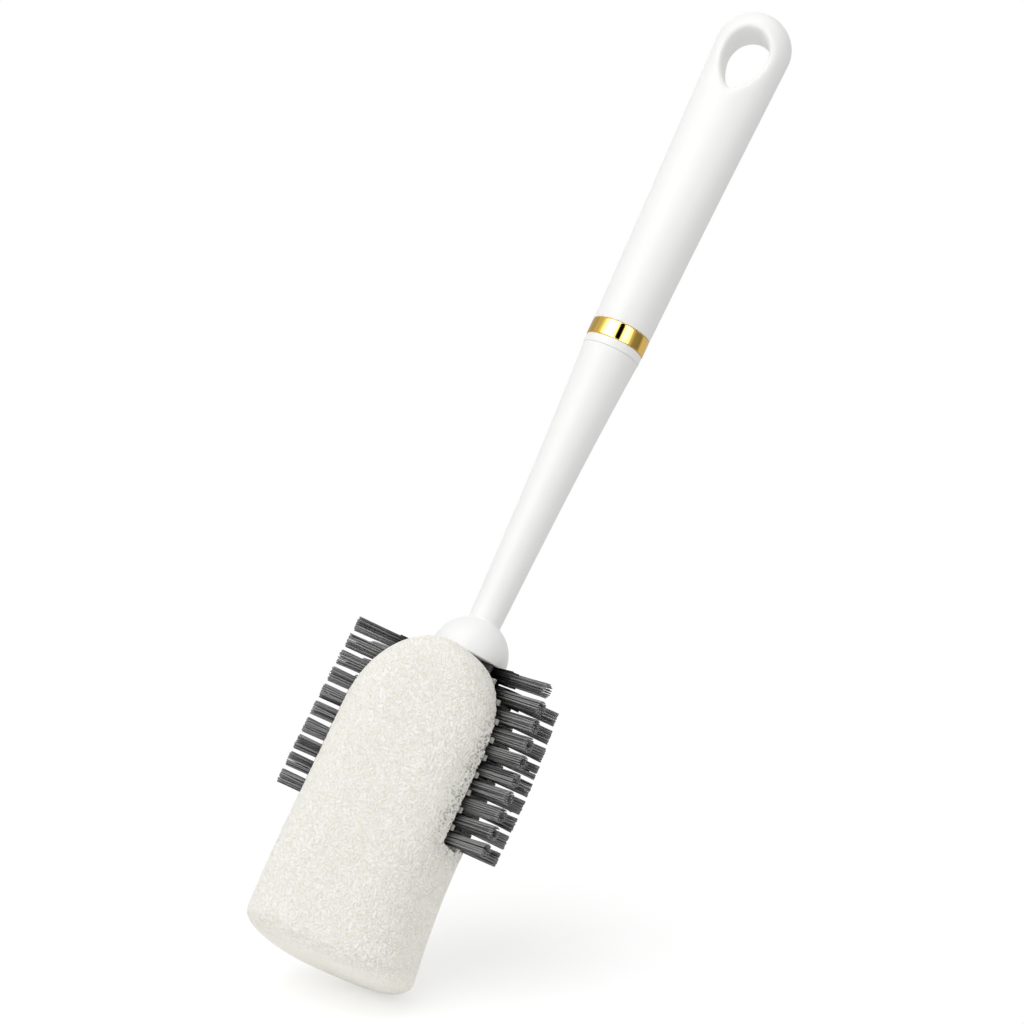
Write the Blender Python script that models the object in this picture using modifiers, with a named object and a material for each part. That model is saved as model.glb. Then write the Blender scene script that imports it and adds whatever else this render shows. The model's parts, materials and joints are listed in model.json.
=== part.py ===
"""Long-handled cleaning brush with a slotted sponge head and two sides of bristle tufts.

The brush stands on the flat end of its sponge: origin at the middle of that end,
+Z along the handle towards the hanging loop, bristles along +X and -X, front face -Y.
The screwed-on grip stops a few degrees round from that front.
"""
import math

import bmesh
import bpy
from mathutils import Matrix, Vector

MM = 0.001

# Clearances, in millimetres
GAP = 0.3
THREAD_CLEARANCE = 0.3
SLOT_CLEARANCE = 0.5
CUT_MARGIN = 5.0

# Sponge, in millimetres
SPONGE_HEIGHT = 104.0
SPONGE_END_WIDTH = 54.8
SPONGE_WIDTH = 51.2
SPONGE_SIDE_SHIFT = 2.6
SPONGE_DEPTH = 42.0
SPONGE_SQUARENESS = 2.8
END_ROUNDING_HEIGHT = 6.5
END_ROUNDING_WIDTH = 13.0
END_ROUNDING_DEPTH = 6.0
ARCH_HEIGHT = 29.0
ARCH_POWER = 2.12
ARCH_EDGE_POWER = 7.0
ARCH_CROWN = 0.9966

# Bristle tufts, in millimetres and degrees
TUFT_PITCH = 5.8
TUFT_ROOT_SPREAD = 2.6
TUFT_LEAN = 17.0
TUFT_ROOT_DIAMETER = 3.1
TUFT_TIP_DIAMETER = 4.5
TUFT_REACH_TOP_RIGHT = 30.2
TUFT_REACH_TOP_LEFT = 33.4
TUFT_REACH_BOTTOM = 34.7
REAR_TUFT_SHORTFALL = 2.4
STRAND_DIAMETER = 0.8
STRAND_RINGS = ((3, 0.42), (6, 1.0))
STRAND_SIDES = 3
PLUG_DEPTH = 2.0
PLUG_WIDTH = 4.8
PLUG_LENGTH = 3.4
FRONT_ROW_COUNT = 10
REAR_ROW_COUNT = 9
LEFT_ROW_DROP = 2.2
REAR_ROW_DROP = 4.0

# Core of the head, in millimetres
SPINE_HALF_WIDTH = 6.0
SPINE_THICKNESS = 4.4
RAIL_BASE = 2.0
RAIL_LIP = 0.7
COMB_THICKNESS = 0.9
COMB_OFFSET = 2.45
COMB_BACK_LENGTH = 1.5
COMB_NUB = 1.2
COMB_TOOTH_WIDTH = 1.7
BOSS_DIAMETER = 10.6
BOSS_HEIGHT = 6.0
TENON_DIAMETER = 6.0
PIN_DIAMETER = 1.8

# Dome collar and neck, in millimetres
DOME_SINK = 0.9
DOME_DIAMETER = 24.2
DOME_RIM_HEIGHT = 1.1
NECK_LENGTH = 93.5
NECK_FOOT_DIAMETER = 10.4
NECK_TOP_DIAMETER = 18.4
NECK_TAPER_SHARE = 0.68
NECK_FLARE_POWER = 3.0
SPIGOT_DIAMETER = 9.0
SPIGOT_LENGTH = 24.0

# Ring and its collar, in millimetres
COLLAR_LIP_HEIGHT = 2.3
COLLAR_DIAMETER = 18.7
RING_HEIGHT = 5.4
RING_DIAMETER = 18.9
RING_WALL = 1.2
RING_BEVEL = 0.3

# Grip, in millimetres
GRIP_LENGTH = 112.9
GRIP_TURN = 5.0
GRIP_FOOT_DIAMETER = 18.9
GRIP_LOOP_WIDTH = 24.6
GRIP_LOOP_DEPTH = 17.0
GRIP_SWELL_POWER = 1.2
GRIP_SQUARENESS = 2.15
GRIP_END_POWER = 2.5
GRIP_WALL = 2.2
GRIP_CAVITY_ROOF = 5.0
INSERT_LENGTH = 22.0
INSERT_ROOF = 2.5
HOLE_WIDTH = 15.2
HOLE_LENGTH = 23.6
HOLE_POINTEDNESS = 0.45
HOLE_TOP_WALL = 6.6
HOLE_RIM_FLARE = 1.3

# Fineness of round shapes
TURNED_STEPS = 36
LOFT_POINTS = 40

# Rows of tufts: how many, and how far the first lies below the highest of all
TUFT_ROWS = {
    "right_front": (FRONT_ROW_COUNT, 0.0),
    "right_rear": (REAR_ROW_COUNT, REAR_ROW_DROP),
    "left_front": (FRONT_ROW_COUNT, LEFT_ROW_DROP),
    "left_rear": (REAR_ROW_COUNT, REAR_ROW_DROP),
}

# Levels along the handle, worked out from the sizes above
DOME_RIM_Z = SPONGE_HEIGHT - DOME_SINK
DOME_RADIUS = DOME_DIAMETER / 2
DOME_TOP_Z = (
    DOME_RIM_Z + DOME_RIM_HEIGHT
    + math.sqrt(DOME_RADIUS ** 2 - (NECK_FOOT_DIAMETER / 2) ** 2)
)
NECK_FOOT_Z = DOME_TOP_Z + GAP
SEAM_Z = NECK_FOOT_Z + NECK_LENGTH
COLLAR_FOOT_Z = SEAM_Z + GAP
RING_FOOT_Z = COLLAR_FOOT_Z + COLLAR_LIP_HEIGHT + GAP
RING_TOP_Z = RING_FOOT_Z + RING_HEIGHT
GRIP_FOOT_Z = RING_TOP_Z + GAP
GRIP_TOP_Z = GRIP_FOOT_Z + GRIP_LENGTH
HOLE_TOP_Z = GRIP_TOP_Z - HOLE_TOP_WALL
HOLE_TIP_Z = HOLE_TOP_Z - HOLE_LENGTH
CAVITY_TOP_Z = HOLE_TIP_Z - GRIP_CAVITY_ROOF

# Levels and reaches inside the head
RAIL_TOP_Z = DOME_RIM_Z - GAP
TOP_TUFT_Z = RAIL_TOP_Z - PLUG_LENGTH / 2
LOWEST_TUFT_Z = min(
    TOP_TUFT_Z - drop - TUFT_PITCH * (count - 1) for count, drop in TUFT_ROWS.values()
)
RAIL_FOOT_Z = LOWEST_TUFT_Z - PLUG_LENGTH / 2 - GAP
SPINE_FOOT_Z = RAIL_FOOT_Z
SLOT_FLOOR_Z = RAIL_FOOT_Z - SLOT_CLEARANCE
SHOULDER_Z = SPONGE_HEIGHT - ARCH_HEIGHT
SPINE_TOP_Z = DOME_RIM_Z - GAP
BOSS_TOP_Z = DOME_RIM_Z + BOSS_HEIGHT
TENON_FOOT_Z = SPINE_TOP_Z + GAP
PIN_Z = DOME_RIM_Z + BOSS_HEIGHT / 2
RAIL_BACK_X = SPINE_HALF_WIDTH + GAP
RAIL_FACE_X = RAIL_BACK_X + RAIL_BASE
PLUG_BACK_X = RAIL_FACE_X + GAP
PLUG_FACE_X = PLUG_BACK_X + PLUG_DEPTH
PLUG_CENTRE_Y = PLUG_WIDTH / 2 + GAP / 2
RAIL_LIP_INNER_Y = PLUG_CENTRE_Y + PLUG_WIDTH / 2 + GAP
RAIL_HALF_DEPTH = RAIL_LIP_INNER_Y + RAIL_LIP
LEAN = math.radians(TUFT_LEAN)

WHITE_PLASTIC = ((0.86, 0.86, 0.85), 0.28, 0.0)
WHITE_CORE = ((0.80, 0.80, 0.79), 0.40, 0.0)
DARK_STRIP = ((0.045, 0.045, 0.05), 0.55, 0.0)
PALE_COMB = ((0.62, 0.62, 0.60), 0.45, 0.0)
GREY_NYLON = ((0.09, 0.09, 0.095), 0.50, 0.0)
GOLD_PLATE = ((0.83, 0.58, 0.20), 0.12, 1.0)
CREAM_SPONGE = ((0.87, 0.85, 0.77), 0.95, 0.0)
STEEL = ((0.62, 0.62, 0.63), 0.25, 1.0)


def clear_scene():
    for obj in list(bpy.data.objects):
        bpy.data.objects.remove(obj, do_unlink=True)


def new_collection(name):
    collection = bpy.data.collections.new(name)
    bpy.context.scene.collection.children.link(collection)
    return collection


def material(name, look):
    colour, roughness, metallic = look
    mat = bpy.data.materials.new(name)
    mat.use_nodes = True
    shader = mat.node_tree.nodes["Principled BSDF"]
    shader.inputs["Base Color"].default_value = (*colour, 1.0)
    shader.inputs["Roughness"].default_value = roughness
    shader.inputs["Metallic"].default_value = metallic
    return mat


def add_object(name, mesh, look, collection):
    obj = bpy.data.objects.new(name, mesh)
    collection.objects.link(obj)
    mesh.materials.clear()
    mesh.materials.append(material(name, look))
    return obj


def mesh_from_bmesh(name, shape):
    bmesh.ops.recalc_face_normals(shape, faces=shape.faces)
    mesh = bpy.data.meshes.new(name)
    shape.to_mesh(mesh)
    shape.free()
    return mesh


def smooth(obj, angle=math.radians(40)):
    obj.data.shade_smooth()
    obj.data.set_sharp_from_angle(angle=angle)


def turned(name, profile, look, collection, steps=TURNED_STEPS):
    """A turned piece: profile of (radius, z) in mm, down the outer side and back up the bore."""
    bored = min(radius for radius, _ in profile) > 0
    count = len(profile)
    edges = [(i, i + 1) for i in range(count - 1)]
    if bored:
        edges.append((count - 1, 0))
    mesh = bpy.data.meshes.new(name)
    mesh.from_pydata([(r * MM, 0.0, z * MM) for r, z in profile], edges, [])
    obj = add_object(name, mesh, look, collection)
    screw = obj.modifiers.new("Turn", "SCREW")
    screw.steps = steps
    screw.render_steps = steps
    screw.use_merge_vertices = True
    screw.merge_threshold = 0.00001
    screw.use_smooth_shade = True
    return obj


def prism(name, outline, low, high, look, collection):
    """An outline of (x, y) in mm, extruded along Z from low to high."""
    shape = bmesh.new()
    face = shape.faces.new([shape.verts.new((x * MM, y * MM, low * MM)) for x, y in outline])
    pushed = bmesh.ops.extrude_face_region(shape, geom=[face])
    moved = [item for item in pushed["geom"] if isinstance(item, bmesh.types.BMVert)]
    bmesh.ops.translate(shape, verts=moved, vec=(0, 0, (high - low) * MM))
    return add_object(name, mesh_from_bmesh(name, shape), look, collection)


def loft(name, rings, look, collection):
    """A closed body through rings of (x, y, z) points in mm, capped at both ends."""
    shape = bmesh.new()
    rows = [[shape.verts.new(Vector(point) * MM) for point in ring] for ring in rings]
    for lower, upper in zip(rows, rows[1:]):
        count = len(lower)
        for i in range(count):
            j = (i + 1) % count
            shape.faces.new((lower[i], lower[j], upper[j], upper[i]))
    shape.faces.new(list(reversed(rows[0])))
    shape.faces.new(rows[-1])
    return add_object(name, mesh_from_bmesh(name, shape), look, collection)


def bake(obj):
    """Turns the object's modifiers into its mesh."""
    looks = list(obj.data.materials)
    view = obj.evaluated_get(bpy.context.evaluated_depsgraph_get())
    mesh = bpy.data.meshes.new_from_object(view)
    obj.modifiers.clear()
    obj.data = mesh
    mesh.materials.clear()
    for look in looks:
        mesh.materials.append(look)


def combine(obj, tool, operation):
    """Joins, cuts or keeps with a tool object, which is then removed."""
    step = obj.modifiers.new(operation.title(), "BOOLEAN")
    step.operation = operation
    step.object = tool
    bpy.context.view_layer.update()
    bake(obj)
    bpy.data.objects.remove(tool, do_unlink=True)


def seat(obj, level, carrier=None):
    """Moves an object's origin to a level on the axis, its shape staying, and parents it."""
    obj.data.transform(Matrix.Translation((0, 0, -level * MM)))
    carrier_level = carrier.location.z if carrier else 0.0
    obj.parent = carrier
    obj.location.z = level * MM - carrier_level


def axis_empty(name, level, collection):
    """An empty on the brush's axis that carries the pieces of one moving body."""
    empty = bpy.data.objects.new(name, None)
    empty.empty_display_size = 0.02
    empty.location.z = level * MM
    collection.objects.link(empty)
    return empty


def box(name, low, high, look, collection):
    low, high = Vector(low) * MM, Vector(high) * MM
    shape = bmesh.new()
    bmesh.ops.create_cube(shape, size=1.0)
    bmesh.ops.scale(shape, vec=high - low, verts=shape.verts)
    bmesh.ops.translate(shape, vec=(low + high) / 2, verts=shape.verts)
    return add_object(name, mesh_from_bmesh(name, shape), look, collection)


def rod(name, radius, start, end, look, collection, segments=20):
    start, end = Vector(start) * MM, Vector(end) * MM
    shape = bmesh.new()
    bmesh.ops.create_cone(
        shape, cap_ends=True, segments=segments,
        radius1=radius * MM, radius2=radius * MM, depth=(end - start).length,
    )
    turn = Vector((0, 0, 1)).rotation_difference(end - start).to_matrix().to_4x4()
    bmesh.ops.transform(shape, matrix=Matrix.Translation((start + end) / 2) @ turn, verts=shape.verts)
    return add_object(name, mesh_from_bmesh(name, shape), look, collection)


def rounded_section(half_width, half_depth, squareness, z):
    """Points of a rounded-rectangle section, between an ellipse and a box."""
    points = []
    for i in range(LOFT_POINTS):
        angle = 2 * math.pi * i / LOFT_POINTS
        c, s = math.cos(angle), math.sin(angle)
        x = half_width * math.copysign(abs(c) ** (2 / squareness), c)
        y = half_depth * math.copysign(abs(s) ** (2 / squareness), s)
        points.append((x, y, z))
    return points


# Sponge head

def sponge_half_sizes(z):
    """Half width and half depth: wider and rounded at the flat end, arched on top."""
    widening = max(1 - z / SLOT_FLOOR_Z, 0.0) ** 1.5
    half_width = (SPONGE_WIDTH + (SPONGE_END_WIDTH - SPONGE_WIDTH) * widening) / 2
    below = max(1 - z / END_ROUNDING_HEIGHT, 0.0)
    inset = 1 - math.sqrt(1 - below ** 2)
    half_width -= END_ROUNDING_WIDTH * inset
    half_depth = SPONGE_DEPTH / 2 - END_ROUNDING_DEPTH * inset
    rise = ARCH_CROWN * max(z - SHOULDER_Z, 0.0) / ARCH_HEIGHT
    half_width *= (1 - rise ** ARCH_POWER) ** (1 / ARCH_POWER)
    half_depth *= (1 - rise ** ARCH_EDGE_POWER) ** (1 / ARCH_EDGE_POWER)
    return half_width, half_depth


def sponge_middle(z):
    """The foam is centred at its end and leans to the left of the core above it."""
    return -SPONGE_SIDE_SHIFT * (1 - max(1 - z / SLOT_FLOOR_Z, 0.0) ** 2)


def sponge_levels():
    round_steps, side_steps, arch_steps = 5, 5, 9
    radius = END_ROUNDING_HEIGHT
    rounding = [radius * (1 - math.cos(math.pi / 2 * i / round_steps)) for i in range(round_steps)]
    side = [radius + (SHOULDER_Z - radius) * i / side_steps for i in range(side_steps + 1)]
    turn = math.asin(ARCH_CROWN) / arch_steps
    arch = [SHOULDER_Z + ARCH_HEIGHT * math.sin(turn * i) / ARCH_CROWN for i in range(1, arch_steps + 1)]
    return rounding + side + arch


def slot_half_opening(x):
    """Half the slot's opening at a distance from the middle: a pocket for the rails, then a wedge."""
    comb_outer = (COMB_OFFSET + COMB_THICKNESS + SLOT_CLEARANCE) / math.cos(LEAN)
    pocket = max(RAIL_HALF_DEPTH + SLOT_CLEARANCE, TUFT_ROOT_SPREAD + comb_outer)
    return pocket + max(x - PLUG_FACE_X, 0.0) * math.tan(LEAN)


def lobe_edge(z, side):
    """How far out the slot's mouth lies on a side, where the wedge meets the foam's surface."""
    half_width, half_depth = sponge_half_sizes(z)
    edge = half_width
    for _ in range(8):
        depth_share = min(slot_half_opening(edge) / half_depth, 1.0)
        edge = half_width * (1 - depth_share ** SPONGE_SQUARENESS) ** (1 / SPONGE_SQUARENESS)
        edge += side * sponge_middle(z)
    return edge


def slot_outline():
    """Section of the slot: a narrow web for the spine, pockets for the rails, then a wedge."""
    web = SPINE_THICKNESS / 2 + SLOT_CLEARANCE
    pocket_x = RAIL_BACK_X - SLOT_CLEARANCE
    corners = [pocket_x, PLUG_FACE_X, SPONGE_WIDTH / 2 + CUT_MARGIN]
    quarter = [(pocket_x, web)] + [(x, slot_half_opening(x)) for x in corners]
    right = quarter + [(x, -y) for x, y in reversed(quarter)]
    left = [(-x, -y) for x, y in right]
    return right + left


def make_sponge(parts, carrier):
    rings = []
    for z in sponge_levels():
        section = rounded_section(*sponge_half_sizes(z), SPONGE_SQUARENESS, z)
        rings.append([(x + sponge_middle(z), y, z) for x, y, z in section])
    sponge = loft("sponge_head", rings, CREAM_SPONGE, parts)
    cut_top = SPONGE_HEIGHT + CUT_MARGIN
    slot = prism("slot", slot_outline(), SLOT_FLOOR_Z, cut_top, CREAM_SPONGE, parts)
    combine(sponge, slot, "DIFFERENCE")
    hollow_foot = SPINE_TOP_Z - SLOT_CLEARANCE
    hollow = rod(
        "dome_hollow", DOME_RADIUS + SLOT_CLEARANCE,
        (0, 0, hollow_foot), (0, 0, cut_top), CREAM_SPONGE, parts, TURNED_STEPS,
    )
    combine(sponge, hollow, "DIFFERENCE")
    smooth(sponge)
    seat(sponge, 0.0, carrier)


# Bristle tufts and what holds them

def tuft_levels(row):
    """Heights of a row's tufts, from the top down."""
    count, drop = TUFT_ROWS[row]
    return [TOP_TUFT_Z - drop - TUFT_PITCH * i for i in range(count)]


def tuft_reach(row, z):
    """How far out a tuft ends: the lower ones stand out further, but less so in the rear rows."""
    side, depth = tuft_sides(row)
    top = TUFT_REACH_TOP_RIGHT if side > 0 else TUFT_REACH_TOP_LEFT
    above = (z - LOWEST_TUFT_Z) / (TOP_TUFT_Z - LOWEST_TUFT_Z)
    reach = TUFT_REACH_BOTTOM - (TUFT_REACH_BOTTOM - top) * above ** 2
    return reach if depth < 0 else reach - REAR_TUFT_SHORTFALL * (1 - above)


def tuft_sides(row):
    """Signs of a row: the side it points to, and whether it leans forward or back."""
    return (1 if row.startswith("right") else -1), (-1 if row.endswith("front") else 1)


def tuft_strands(lean_sign, length, parts):
    """Strands in the tuft's own frame: +X away from the rail, each running straight to its tip."""
    root = Vector((0, lean_sign * TUFT_ROOT_SPREAD, 0))
    along = Vector((math.cos(LEAN), lean_sign * math.sin(LEAN), 0))
    up = Vector((0, 0, 1))
    across = up.cross(along)
    root_ring = (TUFT_ROOT_DIAMETER - STRAND_DIAMETER) / 2
    tip_ring = (TUFT_TIP_DIAMETER - STRAND_DIAMETER) / 2
    strands = bmesh.new()
    for count, share in STRAND_RINGS:
        for i in range(count):
            angle = 2 * math.pi * (i + share / 2) / count
            offset = (across * math.cos(angle) + up * math.sin(angle)) * share
            start = root + offset * root_ring - along * PLUG_DEPTH / 3
            end = root + offset * tip_ring + along * length
            run = end - start
            made = bmesh.ops.create_cone(
                strands, cap_ends=True, segments=STRAND_SIDES,
                radius1=STRAND_DIAMETER / 2 * MM, radius2=STRAND_DIAMETER / 2 * MM,
                depth=run.length * MM,
            )
            turn = Vector((0, 0, 1)).rotation_difference(run).to_matrix().to_4x4()
            place = Matrix.Translation((start + end) / 2 * MM) @ turn
            bmesh.ops.transform(strands, matrix=place, verts=made["verts"])
    return add_object("strands", mesh_from_bmesh("strands", strands), GREY_NYLON, parts)


def make_tuft(name, row, z, parts):
    """One tuft fused to its slice of backing, placed on its rail's face."""
    side, depth = tuft_sides(row)
    lean_sign = side * depth
    middle = lean_sign * PLUG_CENTRE_Y
    tuft = box(
        name,
        (-PLUG_DEPTH, middle - PLUG_WIDTH / 2, -PLUG_LENGTH / 2),
        (0, middle + PLUG_WIDTH / 2, PLUG_LENGTH / 2),
        GREY_NYLON, parts,
    )
    length = (tuft_reach(row, z) - PLUG_FACE_X) / math.cos(LEAN)
    combine(tuft, tuft_strands(lean_sign, length, parts), "UNION")
    tuft.location = Vector((side * PLUG_FACE_X, 0, z)) * MM
    tuft.rotation_euler.z = 0.0 if side > 0 else math.pi


def make_tufts(parts):
    for row in TUFT_ROWS:
        for i, z in enumerate(tuft_levels(row)):
            make_tuft(f"tuft_{row}_{i + 1:02d}", row, z, parts)


def make_rail(name, side, parts):
    """A channel strip: its base lies on the spine's edge and its lips hold the tuft slices."""
    quarter = [
        (RAIL_BACK_X, RAIL_HALF_DEPTH),
        (PLUG_FACE_X, RAIL_HALF_DEPTH),
        (PLUG_FACE_X, RAIL_LIP_INNER_Y),
        (RAIL_FACE_X, RAIL_LIP_INNER_Y),
    ]
    outline = quarter + [(x, -y) for x, y in reversed(quarter)]
    prism(name, [(side * x, y) for x, y in outline], RAIL_FOOT_Z, RAIL_TOP_Z, DARK_STRIP, parts)


def make_comb(name, row, parts):
    """A toothed guard plate beside a row: between each two tufts a tooth that just clears the lobe."""
    side, depth = tuft_sides(row)
    root = Vector((side * PLUG_FACE_X, depth * TUFT_ROOT_SPREAD, 0))
    along = Vector((side * math.cos(LEAN), depth * math.sin(LEAN), 0))
    across = Vector((-side * math.sin(LEAN), depth * math.cos(LEAN), 0))
    back = (COMB_OFFSET + COMB_THICKNESS) * math.tan(LEAN) + GAP / math.cos(LEAN)
    front = back + COMB_BACK_LENGTH

    outline = [(back, RAIL_FOOT_Z), (front, RAIL_FOOT_Z)]
    for z in sorted(tuft_levels(row))[:-1]:
        low = z + TUFT_PITCH / 2 - COMB_TOOTH_WIDTH / 2
        high = low + COMB_TOOTH_WIDTH
        tip = (lobe_edge(z + TUFT_PITCH / 2, side) + COMB_NUB - PLUG_FACE_X) / math.cos(LEAN)
        outline += [(front, low), (tip, low), (tip, high), (front, high)]
    outline[-1] = (back, high)

    shape = bmesh.new()
    corners = []
    for run, z in outline:
        point = root + along * run + across * COMB_OFFSET
        corners.append(shape.verts.new(Vector((point.x, point.y, z)) * MM))
    face = shape.faces.new(corners)
    pushed = bmesh.ops.extrude_face_region(shape, geom=[face])
    moved = [item for item in pushed["geom"] if isinstance(item, bmesh.types.BMVert)]
    bmesh.ops.translate(shape, verts=moved, vec=across * COMB_THICKNESS * MM)
    add_object(name, mesh_from_bmesh(name, shape), PALE_COMB, parts)


def make_spine(parts):
    """The flat core between the lobes, with a socket boss that goes up into the dome."""
    half = SPINE_THICKNESS / 2
    low, high = (-SPINE_HALF_WIDTH, -half, SPINE_FOOT_Z), (SPINE_HALF_WIDTH, half, SPINE_TOP_Z)
    spine = box("core_spine", low, high, WHITE_CORE, parts)
    foot = SPINE_TOP_Z - GAP
    boss = rod("boss", BOSS_DIAMETER / 2, (0, 0, foot), (0, 0, BOSS_TOP_Z), WHITE_CORE, parts, 32)
    combine(spine, boss, "UNION")
    socket_radius = TENON_DIAMETER / 2 + GAP
    mouth = BOSS_TOP_Z + CUT_MARGIN
    socket = rod("socket", socket_radius, (0, 0, SPINE_TOP_Z), (0, 0, mouth), WHITE_CORE, parts, 32)
    combine(spine, socket, "DIFFERENCE")
    combine(spine, pin_hole(parts), "DIFFERENCE")
    smooth(spine)
    seat(spine, SPINE_FOOT_Z)


def pin_hole(parts):
    reach = DOME_RADIUS
    return rod("pin_hole", PIN_DIAMETER / 2 + GAP, (0, -reach, PIN_Z), (0, reach, PIN_Z), STEEL, parts)


def make_pin(parts):
    reach = BOSS_DIAMETER / 2 - GAP
    pin = rod("core_pin", PIN_DIAMETER / 2, (0, -reach, PIN_Z), (0, reach, PIN_Z), STEEL, parts)
    smooth(pin)
    seat(pin, PIN_Z)


# Dome collar and neck

def make_dome(parts):
    outer = []
    start = math.acos(NECK_FOOT_DIAMETER / DOME_DIAMETER)
    arc_steps = 8
    for i in range(arc_steps + 1):
        turn = start * (1 - i / arc_steps)
        level = DOME_RIM_Z + DOME_RIM_HEIGHT + DOME_RADIUS * math.sin(turn)
        outer.append((DOME_RADIUS * math.cos(turn), level))
    cavity = BOSS_DIAMETER / 2 + GAP
    bore = TENON_DIAMETER / 2 + GAP
    profile = outer + [
        (DOME_RADIUS, DOME_RIM_Z + GAP / 2),
        (DOME_RADIUS - GAP, DOME_RIM_Z),
        (cavity, DOME_RIM_Z),
        (cavity, BOSS_TOP_Z + GAP),
        (bore, BOSS_TOP_Z + GAP),
        (bore, DOME_TOP_Z),
    ]
    seat(turned("dome_collar", profile, WHITE_PLASTIC, parts), DOME_RIM_Z)


def neck_radius(z):
    """Slender at the foot and flaring faster towards the seam."""
    share = (z - NECK_FOOT_Z) / NECK_LENGTH
    foot, top = NECK_FOOT_DIAMETER / 2, NECK_TOP_DIAMETER / 2
    swell = NECK_TAPER_SHARE * share + (1 - NECK_TAPER_SHARE) * share ** NECK_FLARE_POWER
    return foot + (top - foot) * swell


def make_neck(parts):
    spigot = SPIGOT_DIAMETER / 2
    spigot_top = SEAM_Z + SPIGOT_LENGTH
    tenon = TENON_DIAMETER / 2
    profile = [
        (0.0, spigot_top),
        (spigot - GAP, spigot_top),
        (spigot, spigot_top - GAP),
        (spigot, SEAM_Z),
        (NECK_TOP_DIAMETER / 2 - GAP / 2, SEAM_Z),
    ]
    taper_steps = 12
    for i in range(taper_steps + 1):
        z = NECK_FOOT_Z + (NECK_LENGTH - GAP / 2) * (1 - i / taper_steps)
        profile.append((neck_radius(z), z))
    profile += [(tenon, NECK_FOOT_Z), (tenon, TENON_FOOT_Z), (0.0, TENON_FOOT_Z)]
    neck = turned("neck_shaft", profile, WHITE_PLASTIC, parts)
    combine(neck, pin_hole(parts), "DIFFERENCE")
    smooth(neck)
    seat(neck, NECK_FOOT_Z)


# Ring, its collar and the grip's threaded insert

def make_ring_seat(parts, carrier):
    bore = SPIGOT_DIAMETER / 2 + THREAD_CLEARANCE
    lip = COLLAR_DIAMETER / 2
    sleeve = RING_DIAMETER / 2 - RING_WALL - GAP
    lip_top = COLLAR_FOOT_Z + COLLAR_LIP_HEIGHT
    profile = [
        (sleeve, RING_TOP_Z),
        (sleeve, lip_top),
        (lip, lip_top),
        (lip, COLLAR_FOOT_Z + GAP / 2),
        (lip - GAP / 2, COLLAR_FOOT_Z),
        (bore, COLLAR_FOOT_Z),
        (bore, RING_TOP_Z),
    ]
    seat(turned("ring_seat", profile, WHITE_PLASTIC, parts), COLLAR_FOOT_Z, carrier)


def make_ring(parts, carrier):
    outer = RING_DIAMETER / 2
    inner = outer - RING_WALL
    profile = [
        (outer - RING_BEVEL, RING_TOP_Z),
        (outer, RING_TOP_Z - RING_BEVEL),
        (outer, RING_FOOT_Z + RING_BEVEL),
        (outer - RING_BEVEL, RING_FOOT_Z),
        (inner, RING_FOOT_Z),
        (inner, RING_TOP_Z),
    ]
    seat(turned("gold_ring", profile, GOLD_PLATE, parts), RING_FOOT_Z, carrier)


def make_insert(parts, carrier):
    outer = GRIP_FOOT_DIAMETER / 2 - GRIP_WALL - GAP
    bore = SPIGOT_DIAMETER / 2 + THREAD_CLEARANCE
    top = GRIP_FOOT_Z + INSERT_LENGTH
    roof = top - INSERT_ROOF
    profile = [
        (0.0, top), (outer, top), (outer, GRIP_FOOT_Z), (bore, GRIP_FOOT_Z), (bore, roof), (0.0, roof),
    ]
    seat(turned("grip_insert", profile, WHITE_CORE, parts), GRIP_FOOT_Z, carrier)


# Grip shells

def grip_half_sizes(z, wall=0.0):
    """Half width and half depth of the grip: round at the ring, a flat oval at the loop."""
    loop_radius = GRIP_LOOP_WIDTH / 2
    straight = GRIP_LENGTH - loop_radius
    share = min((z - GRIP_FOOT_Z) / straight, 1.0)
    foot = GRIP_FOOT_DIAMETER / 2
    half_width = foot + (loop_radius - foot) * share ** GRIP_SWELL_POWER
    half_depth = foot + (GRIP_LOOP_DEPTH / 2 - foot) * share
    rise = max((z - GRIP_FOOT_Z - straight) / loop_radius, 0.0)
    half_width *= math.sqrt(max(1 - rise ** 2, 0.0))
    half_depth *= max(1 - rise ** GRIP_END_POWER, 0.0) ** (1 / GRIP_END_POWER)
    return half_width - wall, half_depth - wall


def grip_squareness(z):
    share = min((z - GRIP_FOOT_Z) / GRIP_LENGTH, 1.0)
    return 2.0 + (GRIP_SQUARENESS - 2.0) * share


def grip_rings():
    straight_top = GRIP_TOP_Z - GRIP_LOOP_WIDTH / 2
    levels = []
    straight_steps = 8
    for i in range(straight_steps + 1):
        levels.append(GRIP_FOOT_Z + (straight_top - GRIP_FOOT_Z) * i / straight_steps)
    end_steps = 8
    for i in range(1, end_steps + 1):
        turn = math.pi / 2 * i / (end_steps + 0.4)
        levels.append(straight_top + GRIP_LOOP_WIDTH / 2 * math.sin(turn))
    return [rounded_section(*grip_half_sizes(z), grip_squareness(z), z) for z in levels]


def cavity_rings():
    levels = [GRIP_FOOT_Z - CUT_MARGIN]
    steps = 5
    for i in range(steps + 1):
        levels.append(GRIP_FOOT_Z + (CAVITY_TOP_Z - GRIP_FOOT_Z) * i / steps)
    rings = []
    for z in levels:
        inside = max(z, GRIP_FOOT_Z)
        rings.append(rounded_section(
            *grip_half_sizes(inside, GRIP_WALL), grip_squareness(inside), z))
    return rings


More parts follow.
